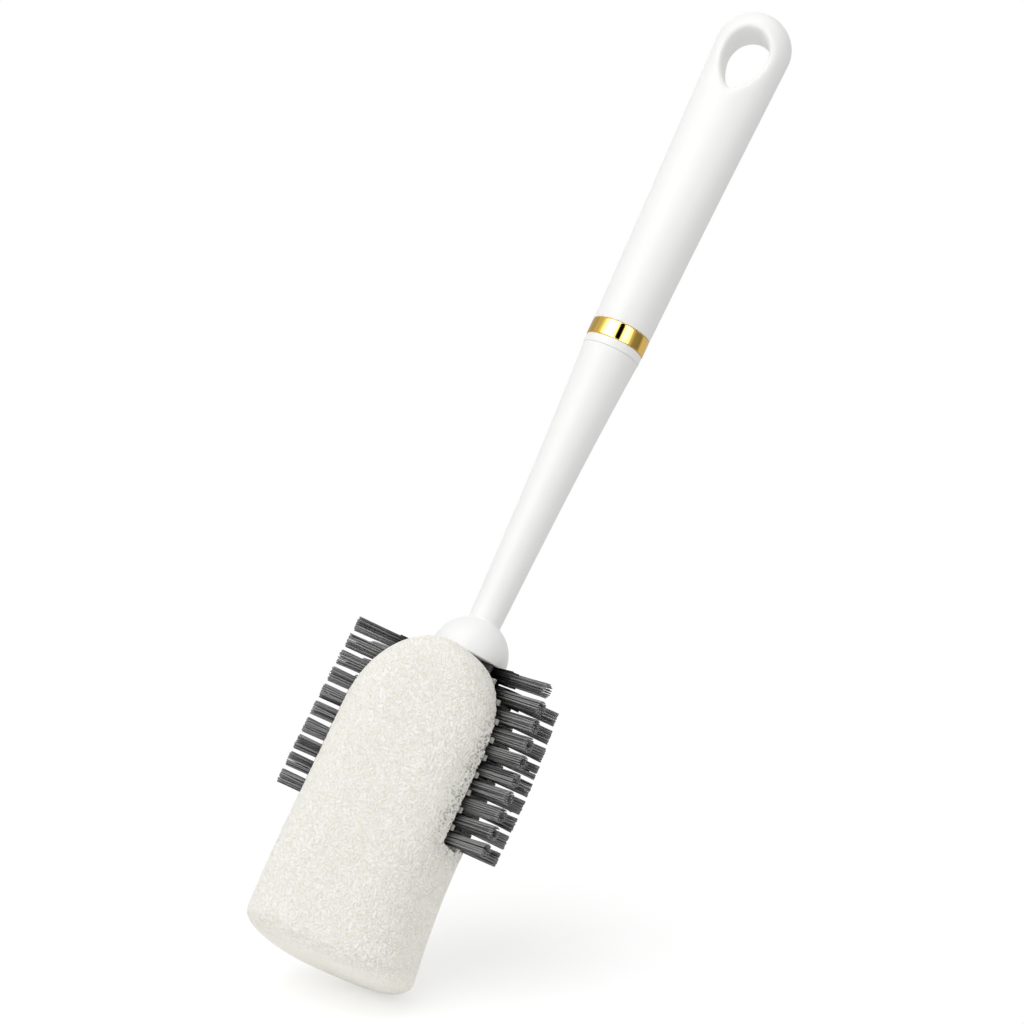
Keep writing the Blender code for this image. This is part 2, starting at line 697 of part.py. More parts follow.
def teardrop(offset):
    """Outline of the hanging hole: wide and round above, drawn to a blunt point below."""
    middle = HOLE_TOP_Z - HOLE_LENGTH / 2
    widest = math.acos(-HOLE_POINTEDNESS / (2 + HOLE_POINTEDNESS))
    swell = math.sin(widest) * math.sin(widest / 2) ** HOLE_POINTEDNESS
    points = []
    steps = 32
    for i in range(steps):
        turn = 2 * math.pi * i / steps
        side = math.sin(turn) * abs(math.sin(turn / 2)) ** HOLE_POINTEDNESS / swell
        x = (HOLE_WIDTH / 2 + offset) * side
        points.append((x, middle - (HOLE_LENGTH / 2 + offset) * math.cos(turn)))
    return points


def hole_cutter(parts):
    """A teardrop tube whose two mouths flare, which softens the rims."""
    face = GRIP_LOOP_DEPTH / 2
    stations = [
        (-face - 3 * HOLE_RIM_FLARE, 3 * HOLE_RIM_FLARE),
        (-face + 1.2 * HOLE_RIM_FLARE, 0.0),
        (face - 1.2 * HOLE_RIM_FLARE, 0.0),
        (face + 3 * HOLE_RIM_FLARE, 3 * HOLE_RIM_FLARE),
    ]
    rings = [[(x, y, z) for x, z in teardrop(offset)] for y, offset in stations]
    return loft("hole", rings, WHITE_PLASTIC, parts)


def make_grip_shell(name, depth, parts, carrier):
    shell = loft(name, grip_rings(), WHITE_PLASTIC, parts)
    combine(shell, loft("cavity", cavity_rings(), WHITE_PLASTIC, parts), "DIFFERENCE")
    combine(shell, hole_cutter(parts), "DIFFERENCE")
    reach = GRIP_LOOP_WIDTH
    near, far = sorted((depth * GAP / 2, depth * reach))
    low = (-reach, near, GRIP_FOOT_Z - CUT_MARGIN)
    high = (reach, far, GRIP_TOP_Z + CUT_MARGIN)
    half = box("half", low, high, WHITE_PLASTIC, parts)
    combine(shell, half, "INTERSECT")
    smooth(shell)
    seat(shell, GRIP_FOOT_Z, carrier)


def build():
    clear_scene()
    parts = new_collection("cleaning_brush")
    sponge_slide = axis_empty("sponge_slide", 0.0, parts)
    ring_lift = axis_empty("ring_lift", RING_FOOT_Z, parts)
    handle_screw = axis_empty("handle_screw", SEAM_Z, parts)
    handle_screw.rotation_euler.z = math.radians(GRIP_TURN)

    make_sponge(parts, sponge_slide)
    make_spine(parts)
    make_rail("bristle_rail_right", 1, parts)
    make_rail("bristle_rail_left", -1, parts)
    for row in TUFT_ROWS:
        make_comb(f"comb_{row}", row, parts)
    make_tufts(parts)
    make_pin(parts)
    make_dome(parts)
    make_neck(parts)
    make_ring_seat(parts, handle_screw)
    make_ring(parts, ring_lift)
    make_insert(parts, handle_screw)
    make_grip_shell("grip_front_shell", -1, parts, handle_screw)
    make_grip_shell("grip_rear_shell", 1, parts, handle_screw)


build()
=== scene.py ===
"""Looks of the long-handled cleaning brush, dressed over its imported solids.

Metres, +Z along the handle, the sponge's flat end at the origin, front face -Y.
"""
import json
import math
import random

import bpy
import numpy as np
from mathutils import Matrix, Vector
from mathutils.bvhtree import BVHTree


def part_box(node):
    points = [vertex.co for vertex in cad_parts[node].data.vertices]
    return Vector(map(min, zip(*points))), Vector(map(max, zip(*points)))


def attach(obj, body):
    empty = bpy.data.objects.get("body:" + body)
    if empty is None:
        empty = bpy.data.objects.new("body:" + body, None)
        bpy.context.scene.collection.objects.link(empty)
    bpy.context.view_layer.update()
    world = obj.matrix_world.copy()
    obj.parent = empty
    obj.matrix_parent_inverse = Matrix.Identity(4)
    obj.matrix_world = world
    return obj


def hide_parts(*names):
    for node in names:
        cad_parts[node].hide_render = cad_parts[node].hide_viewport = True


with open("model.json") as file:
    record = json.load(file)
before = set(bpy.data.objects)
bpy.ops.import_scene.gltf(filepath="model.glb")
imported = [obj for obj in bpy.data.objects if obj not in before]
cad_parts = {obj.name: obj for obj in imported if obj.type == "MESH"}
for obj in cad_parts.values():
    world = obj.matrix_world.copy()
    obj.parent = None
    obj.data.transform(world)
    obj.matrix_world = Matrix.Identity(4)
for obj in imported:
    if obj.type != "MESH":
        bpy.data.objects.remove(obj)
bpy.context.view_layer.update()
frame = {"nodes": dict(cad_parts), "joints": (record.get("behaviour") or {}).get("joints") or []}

MM = 0.001

# The photograph's view: a long lens from low in front, a little to the right, turned about its axis
IMAGE_SIDE = 1024
SENSOR_WIDTH = 36.0
FOCAL_PIXELS = 4473.1
CAMERA_AZIMUTH = math.radians(20.0)
CAMERA_DISTANCE = 1.340
CAMERA_HEIGHT = -0.1468
LOOK_ACROSS = -0.00675
LOOK_HEIGHT = 0.15046
CAMERA_ROLL = math.radians(25.2)
FLOOR_PITCH = math.radians(16.0)
FLOOR_RADIUS = 0.16
FLOOR_FADE = (0.09, 0.15)
FLOOR_SINK = 0.0001
FLOOR_GLOW = 0.19
FLOOR_GLOW_SEEN = 0.38

# Studio: key light to the left of the camera, even light all round
KEY_AZIMUTH = math.radians(-27.0)
KEY_ELEVATION = math.radians(22.0)
KEY_DISTANCE = 1.1
KEY_SIZE = 1.2
KEY_POWER = 5.7
KEY_AIM_HEIGHT = 0.15
ROOM_LEVEL = 0.67
REFLECTED_PEAK = 8.0
# Studio as polished metal sees it, by degrees round the brush: a key soft box, a black flag, a fill
# soft box and a dim room, with brightness against the peak
REFLECTED_STUDIO = (
    (-70, 0.08), (-55, 0.15), (-32, 1.0), (-5, 1.0),
    (9, 0.0), (25, 0.0),
    (35, 0.7), (50, 0.7),
    (66, 0.10), (80, 0.04), (110, 0.03), (125, 0.09), (250, 0.06),
)

# Foam head, in millimetres, as the solid that it dresses
FOAM_HEIGHT = 104.0
FOAM_END_WIDTH = 54.8
FOAM_WIDTH = 51.2
FOAM_SIDE_SHIFT = 2.6
FOAM_DEPTH = 42.0
FOAM_SQUARENESS = 2.8
END_FLARE_POWER = 1.5
END_ROUNDING_HEIGHT = 6.5
END_ROUNDING_WIDTH = 13.0
END_ROUNDING_DEPTH = 6.0
ARCH_HEIGHT = 29.0
ARCH_POWER = 2.12
ARCH_EDGE_POWER = 7.0
ARCH_CROWN = 0.9966
FOAM_SEGMENTS = 144
FOAM_GRAIN = 0.38
FOAM_CELL = 0.80
FOAM_RELIEF = 0.24
GROOVE_WIDTH = 0.085
SKIN_HEIGHT = 2.5
SKIN_OPENNESS = 0.8
PORE_DEPTH = 0.5
PORE_PITCH = 0.90
PORED_SIDE = (16.5, 24.0)
PORED_HEIGHT = (40.0, 52.0)
SLOT_CLEARANCE = 0.4
SLOT_FLOOR_CLEARANCE = 0.5
MOUTH_FLOOR_CLEARANCE = 0.15
WEB_HALF_WIDTH = 2.6
DOME_SEAT_CLEARANCE = 0.35
DOME_SEAT_DEPTH = 0.6
WEDGE_LAP = 3.0
WEDGE_MIDDLE_LAP = 0.2
WEDGE_OVERSHOOT = 8.0
CUT_OVERSHOOT = 5.0

# Bristles, in millimetres
TUFT_LEAN = math.radians(17.0)
TUFT_ROOT_SPREAD = 2.6
TUFT_ROOT_RADIUS = 1.70
TUFT_TIP_RADIUS = 2.10
FILAMENT_DIAMETER = 0.47
FILAMENT_SIDES = 6
FILAMENT_DRIFT = 0.10
FILAMENT_BOW = 0.12
STRAY_SHARE = 0.08
STRAY_DRIFT = 0.8
CUT_UNEVENNESS = 0.016
HEART_RADIUS = 0.4
HEART_RECESS = 0.10
DARK_SHARE = 0.38
DARK_GREYS = (0.0, 0.15)
PALE_GREYS = (0.5, 1.0)
# The short filaments are drawn in the darkest grey as painted shade, filling the gaps between the
# tufts' roots.
SHORT_FILAMENTS = 12
SHORT_RADII = (1.02, 1.22)
SHORT_CUT_OFF = (0.50, 0.70)
SHORT_DRIFT_SHARE = 0.3
FILAMENT_RINGS = 3
BUNDLE_SPACING = 10
FILAMENT_CUTS = 4
TUFT_PATTERNS = 4
TUFT_SPIN = 2.4
TUFT_SINK = 0.7
BACKING_DEPTH = 2.0
BACKING_HEIGHT = 3.4
BACKING_WIDTH = 4.8
BACKING_MIDDLE = 2.55
BACKING_EDGE = 0.25

# Dome and neck, in millimetres
DOME_RIM_HEIGHT = 1.1
DOME_POCKET_RADIUS = 5.6
DOME_POCKET_DEPTH = 6.3
DOME_BORE_RADIUS = 3.3
DOME_BORE_RISE = 0.2
DOME_LIP_INSET = 0.05
DOME_LIP_RISE = 0.15
DOME_EDGE = 0.35
NECK_FOOT_DIAMETER = 10.4
NECK_TAPER_SHARE = 0.68
NECK_FLARE_POWER = 3.0
NECK_FOOT_GAP = 0.3
SPIGOT_RADIUS = 4.2
TENON_RADIUS = 3.0
FILLET = 1.1
SEAM_EDGE = 0.15
TURN_SEGMENTS = 128

# Ring and collar, in millimetres
RING_WALL = 1.2
RING_EDGE = 0.32
RING_GAP = 0.12
COLLAR_DROP = 0.24
THREAD_BORE = 4.8
SLEEVE_RADIUS = 7.95

# Grip, in millimetres
GRIP_TURN = math.radians(5.0)
GRIP_FOOT_DIAMETER = 18.9
GRIP_LOOP_WIDTH = 24.6
GRIP_LOOP_DEPTH = 17.0
GRIP_SWELL_POWER = 1.2
GRIP_SQUARENESS = 2.15
GRIP_END_POWER = 2.5
GRIP_CAVITY_RADIUS = 7.25
GRIP_CAVITY_LENGTH = 23.0
HOLE_WIDTH = 13.8
HOLE_LENGTH = 20.9
HOLE_POINTEDNESS = 0.45
HOLE_TOP_WALL = 7.7
HOLE_RIM_BLEND = 3.2
GRIP_SEGMENTS = 192
HOLE_SEGMENTS = 160
GRIP_GRAIN = 0.36
PARTING_GAP = 0.10


def deselect_all():
    if bpy.context.mode != "OBJECT":
        bpy.ops.object.mode_set(mode="OBJECT")
    bpy.ops.object.select_all(action="DESELECT")


def select_only(piece):
    deselect_all()
    piece.select_set(True)
    bpy.context.view_layer.objects.active = piece


def apply_modifier(piece, name, kind, **settings):
    modifier = piece.modifiers.new(name, kind)
    for key, value in settings.items():
        setattr(modifier, key, value)
    select_only(piece)
    bpy.ops.object.modifier_apply(modifier=name)


def shade(piece, angle=40.0):
    select_only(piece)
    bpy.ops.object.shade_smooth_by_angle(angle=math.radians(angle))


def finish_piece(piece, body, looks, stands_for=()):
    piece.data.materials.clear()
    for look in looks:
        piece.data.materials.append(look)
    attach(piece, body)
    if stands_for:
        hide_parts(*stands_for)


# Materials

def colour(hex_code):
    """sRGB hex to the linear colour that a shader takes."""
    parts = [int(hex_code[i:i + 2], 16) / 255 for i in (0, 2, 4)]
    linear = [c / 12.92 if c <= 0.04045 else ((c + 0.055) / 1.055) ** 2.4 for c in parts]
    return (*linear, 1.0)


def add_node(tree, kind, inputs=None, **settings):
    """Adds a node. Settings are its properties; inputs are values or sockets to link, by socket."""
    made = tree.nodes.new(kind)
    for key, value in settings.items():
        setattr(made, key, value)
    for key, value in (inputs or {}).items():
        if isinstance(value, bpy.types.NodeSocket):
            tree.links.new(value, made.inputs[key])
        else:
            made.inputs[key].default_value = value
    return made


def combine(tree, operation, *values):
    """One step of arithmetic over values or sockets."""
    return add_node(tree, "ShaderNodeMath", dict(enumerate(values)), operation=operation).outputs[0]


def remap(tree, value, low, high, start=0.0, end=1.0, ease="SMOOTHSTEP"):
    """Carries low..high over to start..end and holds the ends."""
    return add_node(tree, "ShaderNodeMapRange", {
        "Value": value, "From Min": low, "From Max": high, "To Min": start, "To Max": end},
        interpolation_type=ease).outputs["Result"]


def blend_colours(tree, share, first, second, **settings):
    return add_node(tree, "ShaderNodeMix", {
        "Factor": share, "A": first, "B": second}, data_type="RGBA", **settings).outputs["Result"]


def noise(tree, place, scale, **inputs):
    """Noise over a place, its scale in waves to the metre."""
    return add_node(tree, "ShaderNodeTexNoise", {
        "Vector": place, "Scale": scale, **inputs}).outputs["Fac"]


def object_place(tree):
    return add_node(tree, "ShaderNodeTexCoord").outputs["Object"]


def raise_surface(tree, shader, height, strength, distance):
    """Bumps a surface by a height from 0 to 1, whose full rise is the distance, in metres."""
    bump = add_node(tree, "ShaderNodeBump", {
        "Height": height, "Strength": strength, "Distance": distance})
    tree.links.new(bump.outputs["Normal"], shader.inputs["Normal"])


def new_material(name, **constants):
    """A Principled material whose constant values sit on its own sockets."""
    look = bpy.data.materials.new(name)
    look.use_nodes = True
    shader = look.node_tree.nodes["Principled BSDF"]
    for key, value in constants.items():
        shader.inputs[key.replace("_", " ")].default_value = value
    return look, look.node_tree, shader


def moulded_polypropylene(name, light, dark, roughness, peel):
    """Injection-moulded PP: satin gloss, an even skin with a trace of orange peel."""
    look, tree, shader = new_material(
        name, Roughness=roughness, IOR=1.49, Specular_IOR_Level=0.32)
    place = object_place(tree)
    tint = blend_colours(tree, noise(tree, place, 45.0, Detail=2.0), colour(dark), colour(light))
    tree.links.new(tint, shader.inputs["Base Color"])
    raise_surface(tree, shader, noise(tree, place, 900.0, Detail=3.0), peel, 0.00002)
    return look


def gold_plate():
    """Gold-toned vacuum plate over a polished band: mirror-like, with a trace of turning marks."""
    look, tree, shader = new_material("vacuum_gold_plate", Metallic=1.0, Roughness=0.07)
    place = object_place(tree)
    cloud = noise(tree, place, 160.0, Detail=2.0)
    tint = blend_colours(tree, cloud, colour("EDC460"), colour("F2CA6A"))
    tree.links.new(tint, shader.inputs["Base Color"])
    squashed = add_node(tree, "ShaderNodeMapping", {"Vector": place, "Scale": (1.0, 1.0, 60.0)})
    marks = noise(tree, squashed.outputs["Vector"], 300.0)
    raise_surface(tree, shader, marks, 0.15, 0.000004)
    return look


def nylon_filament():
    """Drawn charcoal nylon: each filament its own grey, cut pale at the tip, with painted shade
    towards the root: a near-black colour and dimmed reflections where the filaments pack.
    """
    look, tree, shader = new_material("drawn_nylon", Roughness=0.36, IOR=1.53)
    grey = add_node(tree, "ShaderNodeAttribute", attribute_name="filament_grey").outputs["Fac"]
    along = add_node(tree, "ShaderNodeAttribute", attribute_name="filament_share").outputs["Fac"]
    streak = noise(tree, object_place(tree), 1400.0, Detail=2.0)
    streaked = combine(tree, "MULTIPLY_ADD", streak, 0.30, grey)
    tip = remap(tree, along, 0.94, 0.98, end=0.42, ease="LINEAR")
    tint = blend_colours(
        tree, combine(tree, "ADD", streaked, tip), colour("0C0C0C"), colour("8C8C8C"),
        clamp_factor=True)
    # Painted shade: towards the root the colour goes near black and the reflections dim, standing
    # in for the shade between packed filaments.
    unshaded_share = remap(tree, along, 0.15, 0.72, start=0.03)
    root_painted_shade = blend_colours(tree, unshaded_share, colour("040404"), tint)
    tree.links.new(root_painted_shade, shader.inputs["Base Color"])
    gloss = combine(tree, "MULTIPLY", unshaded_share, 0.38)
    tree.links.new(gloss, shader.inputs["Specular IOR Level"])
    raise_surface(tree, shader, streak, 0.3, 0.00002)
    return look


def foam_cells(tree, place):
    """1 in the narrow grooves between the foam's strands, where a twisted noise crosses over."""
    field = noise(
        tree, place, 1 / (FOAM_CELL * MM), Detail=0.6, Roughness=0.5, Distortion=0.5)
    off_crossing = combine(tree, "ABSOLUTE", combine(tree, "SUBTRACT", field, 0.5))
    return remap(tree, off_crossing, 0.0, GROOVE_WIDTH, start=1.0, end=0.0)


def foam_height(tree, place):
    """Foam surface, 1 on a strand and down to 0 in a groove; shallower on the flat end's skin."""
    axes = add_node(tree, "ShaderNodeSeparateXYZ", {"Vector": place})
    openness = remap(tree, axes.outputs["Z"], 0.0, SKIN_HEIGHT * MM, start=SKIN_OPENNESS)
    sunk = combine(tree, "MULTIPLY", foam_cells(tree, place), openness)
    return combine(tree, "SUBTRACT", 1.0, sunk)


def open_pores(tree, place):
    """Deep pores where the slot is cut: near 1 in a pore by the right-hand edges of both lobes."""
    axes = add_node(tree, "ShaderNodeSeparateXYZ", {"Vector": place})
    edge = remap(tree, axes.outputs["X"], *[x * MM for x in PORED_SIDE])
    level = remap(tree, axes.outputs["Z"], *[z * MM for z in PORED_HEIGHT])
    zone = combine(tree, "MULTIPLY", edge, level)
    spots = add_node(tree, "ShaderNodeTexVoronoi", {
        "Vector": place, "Scale": 1 / (PORE_PITCH * MM)})
    drift = noise(tree, place, 420.0)
    uneven = combine(tree, "MULTIPLY_ADD", drift, 0.9, spots.outputs["Distance"])
    pore = remap(tree, uneven, 0.72, 0.98, start=1.0, end=0.0)
    return combine(tree, "MULTIPLY", pore, zone)


def cut_foam():
    """Open-cell polyurethane foam, cut and skinned: chalky strands over warm cells, with painted
    shade darkening the grooves.
    """
    look, tree, shader = new_material(
        "open_cell_foam", Roughness=0.95, IOR=1.45, Specular_IOR_Level=0.03)
    place = object_place(tree)
    height = foam_height(tree, place)
    shown = remap(tree, height, 0.0, 0.7, ease="LINEAR")
    # Painted shade: the grooves between strands are painted a darker, warmer cream than the
    # strands.
    tint = blend_colours(tree, shown, colour("F2EBD4"), colour("FFFEF9"))
    # Painted shade: the pores are painted a dark brown-grey, standing in for the shade deep inside
    # them.
    pore_painted_shade = blend_colours(tree, open_pores(tree, place), tint, colour("5E5A50"))
    tree.links.new(pore_painted_shade, shader.inputs["Base Color"])
    grain = noise(tree, place, 2600.0, Detail=2.0)
    raise_surface(tree, shader, combine(tree, "MULTIPLY_ADD", grain, 0.25, height), 0.80, 0.00012)
    return look


def pin_steel():
    """Drawn stainless wire, cut to length: plain grey with fine drawn lines."""
    look, tree, shader = new_material("drawn_stainless", Metallic=1.0)
    lines = noise(tree, object_place(tree), 1200.0)
    rough = remap(tree, lines, 0.0, 1.0, start=0.2, end=0.35, ease="LINEAR")
    tree.links.new(rough, shader.inputs["Roughness"])
    shader.inputs["Base Color"].default_value = colour("CBCBCC")
    return look


# Camera, floor and light

def camera_axes():
    """Camera place, and its right, up and backward directions, rolled as the photograph is."""
    sine, cosine = math.sin(CAMERA_AZIMUTH), math.cos(CAMERA_AZIMUTH)
    eye = Vector((sine * CAMERA_DISTANCE, -cosine * CAMERA_DISTANCE, CAMERA_HEIGHT))
    aim = Vector((cosine * LOOK_ACROSS, sine * LOOK_ACROSS, LOOK_HEIGHT))
    ahead = (aim - eye).normalized()
    level = ahead.cross(Vector((0, 0, 1))).normalized()
    upright = level.cross(ahead)
    right = level * math.cos(CAMERA_ROLL) + upright * math.sin(CAMERA_ROLL)
    up = upright * math.cos(CAMERA_ROLL) - level * math.sin(CAMERA_ROLL)
    return eye, right, up, -ahead


def place_camera():
    eye, right, up, back = camera_axes()
    camera = bpy.data.objects.new("camera", bpy.data.cameras.new("camera"))
    bpy.context.scene.collection.objects.link(camera)
    matrix = Matrix((right, up, back)).transposed().to_4x4()
    matrix.translation = eye
    camera.matrix_world = matrix
    camera.data.sensor_width = SENSOR_WIDTH
    camera.data.lens = FOCAL_PIXELS * SENSOR_WIDTH / IMAGE_SIDE
    camera.data.clip_end = 20.0
    bpy.context.scene.camera = camera
    bpy.context.scene.view_settings.view_transform = "Standard"


def make_floor(foam):
    """A pale floor, level in the photograph, that touches the foam's lowest corner."""
    _, _, up, back = camera_axes()
    normal = up * math.cos(FLOOR_PITCH) + back * math.sin(FLOOR_PITCH)
    corners = np.empty(len(foam.data.vertices) * 3)
    foam.data.vertices.foreach_get("co", corners)
    corners = corners.reshape(-1, 3)
    lowest = Vector(corners[np.argmin(corners @ np.array(normal))])
    deselect_all()
    bpy.ops.mesh.primitive_circle_add(vertices=96, radius=FLOOR_RADIUS, fill_type="NGON")
    floor = bpy.context.object
    floor.name = "floor"
    turn = Vector((0, 0, 1)).rotation_difference(normal).to_matrix().to_4x4()
    floor.data.transform(Matrix.Translation(lowest - normal * FLOOR_SINK) @ turn)
    look = bpy.data.materials.new("pale_floor")
    look.use_nodes = True
    tree = look.node_tree
    tree.nodes.clear()
    path = add_node(tree, "ShaderNodeLightPath")
    pale = add_node(tree, "ShaderNodeBsdfDiffuse", {"Color": colour("E6E6E4")})
    glow = add_node(tree, "ShaderNodeEmission", {"Strength": FLOOR_GLOW})
    plain = add_node(tree, "ShaderNodeAddShader", {0: pale.outputs[0], 1: glow.outputs[0]})
    seen = add_node(tree, "ShaderNodeBsdfDiffuse", {"Color": colour("E0E0E0")})
    lift = add_node(tree, "ShaderNodeEmission", {"Strength": FLOOR_GLOW_SEEN})
    lit = add_node(tree, "ShaderNodeAddShader", {0: seen.outputs[0], 1: lift.outputs[0]})
    top = add_node(tree, "ShaderNodeMixShader", {
        0: path.outputs["Is Camera Ray"], 1: plain.outputs[0], 2: lit.outputs[0]})
    clear = add_node(tree, "ShaderNodeBsdfTransparent")
    side = add_node(tree, "ShaderNodeNewGeometry")
    apart = add_node(tree, "ShaderNodeVectorMath", {
        0: object_place(tree), 1: tuple(lowest)}, operation="DISTANCE")
    rim = remap(tree, apart.outputs["Value"], *FLOOR_FADE)
    hidden = combine(tree, "MAXIMUM", rim, side.outputs["Backfacing"])
    both = add_node(tree, "ShaderNodeMixShader", {
        0: hidden, 1: top.outputs[0], 2: clear.outputs[0]})
    add_node(tree, "ShaderNodeOutputMaterial", {"Surface": both.outputs[0]})
    floor.data.materials.append(look)


def light_studio():
    """White to the camera, a darker even room to the surfaces, and soft boxes in reflections."""
    world = bpy.data.worlds.new("studio")
    bpy.context.scene.world = world
    world.use_nodes = True
    tree = world.node_tree
    tree.nodes.clear()
    path = add_node(tree, "ShaderNodeLightPath")
    outward = add_node(tree, "ShaderNodeTexCoord").outputs["Generated"]
    bearing = add_node(tree, "ShaderNodeTexGradient", {"Vector": outward}, gradient_type="RADIAL")
    ramp = add_node(tree, "ShaderNodeValToRGB", {"Fac": bearing.outputs["Fac"]})
    stops = ramp.color_ramp.elements
    for degrees, level in REFLECTED_STUDIO:
        stop = stops.new((degrees + 90) / 360)
        stop.color = (level, level, level, 1.0)
    stops.remove(stops[-1])
    stops.remove(stops[0])
    mirrored = add_node(tree, "ShaderNodeBackground", {
        "Color": ramp.outputs["Color"], "Strength": REFLECTED_PEAK})
    room = add_node(tree, "ShaderNodeBackground", {"Color": (1, 1, 1, 1), "Strength": ROOM_LEVEL})
    white = add_node(tree, "ShaderNodeBackground", {"Color": (1, 1, 1, 1), "Strength": 1.0})
    inner = add_node(tree, "ShaderNodeMixShader", {
        0: path.outputs["Is Glossy Ray"], 1: room.outputs[0], 2: mirrored.outputs[0]})
    seen = combine(
        tree, "MAXIMUM", path.outputs["Is Camera Ray"], path.outputs["Is Transmission Ray"])
    outer = add_node(tree, "ShaderNodeMixShader", {
        0: seen, 1: inner.outputs[0], 2: white.outputs[0]})
    add_node(tree, "ShaderNodeOutputWorld", {"Surface": outer.outputs[0]})

    aim = Vector((0, 0, KEY_AIM_HEIGHT))
    away = Vector((
        math.sin(KEY_AZIMUTH) * math.cos(KEY_ELEVATION),
        -math.cos(KEY_AZIMUTH) * math.cos(KEY_ELEVATION),
        math.sin(KEY_ELEVATION),
    ))
    key = bpy.data.objects.new("key_light", bpy.data.lights.new("key_light", "AREA"))
    bpy.context.scene.collection.objects.link(key)
    key.data.size = KEY_SIZE
    key.data.energy = KEY_POWER
    key.location = aim + away * KEY_DISTANCE
    key.rotation_euler = away.to_track_quat("Z", "Y").to_euler()
    key.visible_camera = False
    key.visible_glossy = False


# Shapes drawn up ring by ring

def draw_rings(name, outline, rings):
    """A closed body: a filled outline, extruded and resized to each (z, half x, half y, shift)."""
    deselect_all()
    bpy.ops.mesh.primitive_circle_add(vertices=len(outline), radius=1.0, fill_type="NGON")
    piece = bpy.context.object
    piece.name = name
    z, half_x, half_y, shift = rings[0]
    for vertex, (x, y) in zip(piece.data.vertices, outline):
        vertex.co = Vector((x * half_x + shift, y * half_y, z)) * MM
    bpy.ops.object.mode_set(mode="EDIT")
    bpy.ops.mesh.select_all(action="SELECT")
    for before, after in zip(rings, rings[1:]):
        rise, across = after[0] - before[0], after[3] - before[3]
        bpy.ops.mesh.extrude_region_move(
            TRANSFORM_OT_translate={"value": (across * MM, 0, rise * MM)})
        bpy.ops.transform.resize(
            value=(after[1] / before[1], after[2] / before[2], 1),
            center_override=(after[3] * MM, 0, after[0] * MM))
    bpy.ops.mesh.select_all(action="SELECT")
    bpy.ops.mesh.normals_make_consistent(inside=False)
    bpy.ops.object.mode_set(mode="OBJECT")
    return piece


def turn_profile(name, profile, edge=0.0, bored=False):
    """A turned piece: a circle extruded and resized through (radius, z), then softened edges."""
    deselect_all()
    radius, z = profile[0]
    bpy.ops.mesh.primitive_circle_add(vertices=TURN_SEGMENTS, radius=radius * MM)
    piece = bpy.context.object
    piece.name = name
    bpy.ops.object.mode_set(mode="EDIT")
    bpy.ops.mesh.select_all(action="SELECT")
    bpy.ops.transform.translate(value=(0, 0, z * MM))
    if not bored:
        bpy.ops.mesh.edge_face_add()
        bpy.ops.mesh.select_mode(type="EDGE")
    stops = profile[1:] + (profile[:1] if bored else [])
    for new_radius, new_z in stops:
        bpy.ops.mesh.extrude_edges_move(TRANSFORM_OT_translate={"value": (0, 0, (new_z - z) * MM)})
        ratio = new_radius / radius
        bpy.ops.transform.resize(value=(ratio, ratio, 1), center_override=(0, 0, new_z * MM))
        radius, z = new_radius, new_z
    if not bored:
        bpy.ops.mesh.edge_face_add()
    bpy.ops.mesh.select_mode(type="VERT")
    bpy.ops.mesh.select_all(action="SELECT")
    bpy.ops.mesh.remove_doubles(threshold=0.000002)
    bpy.ops.mesh.normals_make_consistent(inside=False)
    bpy.ops.object.mode_set(mode="OBJECT")
    if edge:
        apply_modifier(
            piece, "Soft edges", "BEVEL", width=edge * MM, segments=4,
            limit_method="ANGLE", angle_limit=math.radians(32), use_clamp_overlap=True)
    shade(piece)
    return piece


def cut(piece, cutter):
    apply_modifier(piece, "Cut", "BOOLEAN", operation="DIFFERENCE", object=cutter, solver="EXACT")
    bpy.data.objects.remove(cutter, do_unlink=True)


def block(name, low, high):
    """A block between two corners, in millimetres."""
    deselect_all()
    bpy.ops.mesh.primitive_cube_add(size=1.0)
    made = bpy.context.object
    made.name = name
    low, high = Vector(low), Vector(high)
    for vertex in made.data.vertices:
        vertex.co = Vector([
            (low[i] if vertex.co[i] < 0 else high[i]) * MM for i in range(3)])
    return made


def read_points(mesh):
    points = np.empty(len(mesh.vertices) * 3)
    mesh.vertices.foreach_get("co", points)
    return points.reshape(-1, 3)


def write_points(mesh, points):
    mesh.vertices.foreach_set("co", points.ravel())
    mesh.update()


def rounded_outline(count, squareness):
    """Unit outline between a circle and a square."""
    points = []
    for i in range(count):
        angle = 2 * math.pi * i / count
        c, s = math.cos(angle), math.sin(angle)
        points.append((
            math.copysign(abs(c) ** (2 / squareness), c),
            math.copysign(abs(s) ** (2 / squareness), s)))
    return points


# Foam head

RAIL = [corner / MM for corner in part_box("bristle_rail_right")]
SLOT_FLOOR = min(RAIL[0].z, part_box("bristle_rail_left")[0].z / MM) - SLOT_FLOOR_CLEARANCE


def foam_half_sizes(z):
    """Half width and half depth: wider and rounded at the flat end, arched on top."""
    widening = max(1 - z / SLOT_FLOOR, 0.0) ** END_FLARE_POWER
    half_width = (FOAM_WIDTH + (FOAM_END_WIDTH - FOAM_WIDTH) * widening) / 2
    below = max(1 - z / END_ROUNDING_HEIGHT, 0.0)
    inset = 1 - math.sqrt(1 - below ** 2)
    half_width -= END_ROUNDING_WIDTH * inset
    half_depth = FOAM_DEPTH / 2 - END_ROUNDING_DEPTH * inset
    rise = ARCH_CROWN * max(z - FOAM_HEIGHT + ARCH_HEIGHT, 0.0) / ARCH_HEIGHT
    half_width *= (1 - rise ** ARCH_POWER) ** (1 / ARCH_POWER)
    half_depth *= (1 - rise ** ARCH_EDGE_POWER) ** (1 / ARCH_EDGE_POWER)
    return half_width, half_depth


def foam_middle(z):
    return -FOAM_SIDE_SHIFT * (1 - max(1 - z / SLOT_FLOOR, 0.0) ** 2)


